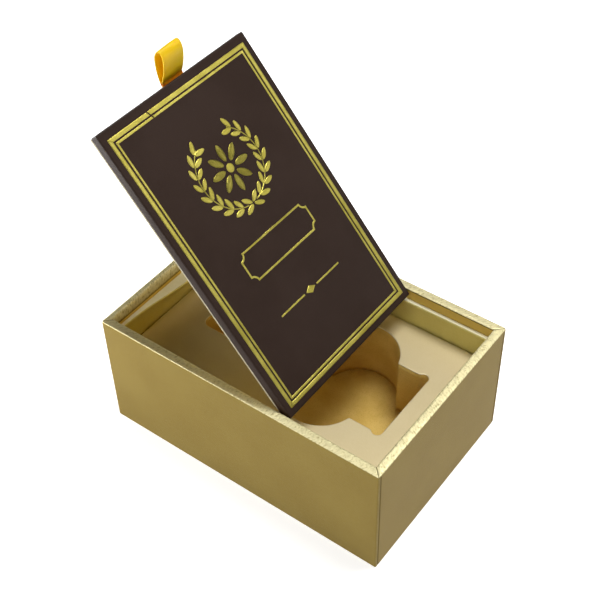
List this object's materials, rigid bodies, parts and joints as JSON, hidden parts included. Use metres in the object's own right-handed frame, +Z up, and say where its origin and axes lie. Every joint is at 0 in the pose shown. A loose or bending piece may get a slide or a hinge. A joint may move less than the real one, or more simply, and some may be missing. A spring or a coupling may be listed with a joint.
{
  "type": "perfume box",
  "caption": "Rigid gold paper box with a cut-out insert for a perfume bottle, an inner ledge, and a loose flat lid that a ribbon loop pulls out.",
  "frame": {"origin": "centre of the bottom, on the surface that the box stands on", "axes": "+X along the box away from the ribbon end, +Y across it, +Z up"},
  "size_m": [0.12, 0.0808, 0.1471],
  "materials": {
    "greyboard": "matte",
    "gold_paper": "satin",
    "paper_tape": "matte",
    "foam": "matte",
    "cream_sheet": "matte",
    "dark_paper": "matte",
    "pale_board": "matte",
    "gold_foil": "polished",
    "satin_ribbon": "satin"
  },
  "bodies": {
    "tray": {"floor_board": "greyboard", "bottom_sheet": "gold_paper", "corner_tapes": "paper_tape", "front_wall_board": "greyboard", "front_wrap": "gold_paper", "front_ledge_board": "greyboard", "front_ledge_paper": "gold_paper", "back_wall_board": "greyboard", "back_wrap": "gold_paper", "back_ledge_board": "greyboard", "back_ledge_paper": "gold_paper", "left_wall_board": "greyboard", "left_wrap": "gold_paper", "left_ledge_board": "greyboard", "left_ledge_paper": "gold_paper", "right_wall_board": "greyboard", "right_wrap": "gold_paper", "right_ledge_board": "greyboard", "right_ledge_paper": "gold_paper", "insert_pad": "foam", "insert_block": "foam", "insert_face_sheet": "cream_sheet"},
    "lid": {"lid_board": "greyboard", "lid_wrap": "dark_paper", "lid_under_board": "pale_board", "ribbon_tail": "satin_ribbon", "wide_border_foil": "gold_foil", "narrow_border_foil": "gold_foil", "wreath_foil": "gold_foil", "rosette_foil": "gold_foil", "panel_foil": "gold_foil", "rule_foil": "gold_foil"},
    "ribbon": {"ribbon_loop": "satin_ribbon"}
  },
  "joints": [
    {"name": "lid_lift", "type": "slide", "parent": "tray", "child": "lid", "axis": [-0.6481, 0, 0.7615], "range_m": [0, 0.11]},
    {"name": "ribbon_flop", "type": "hinge", "parent": "lid", "child": "ribbon", "pos_m": [-0.05379, 0, 0.13361], "axis": [0, 1, 0], "range_deg": [-115, 35], "stiffness_Nm_per_rad": 0.0003}
  ]
}
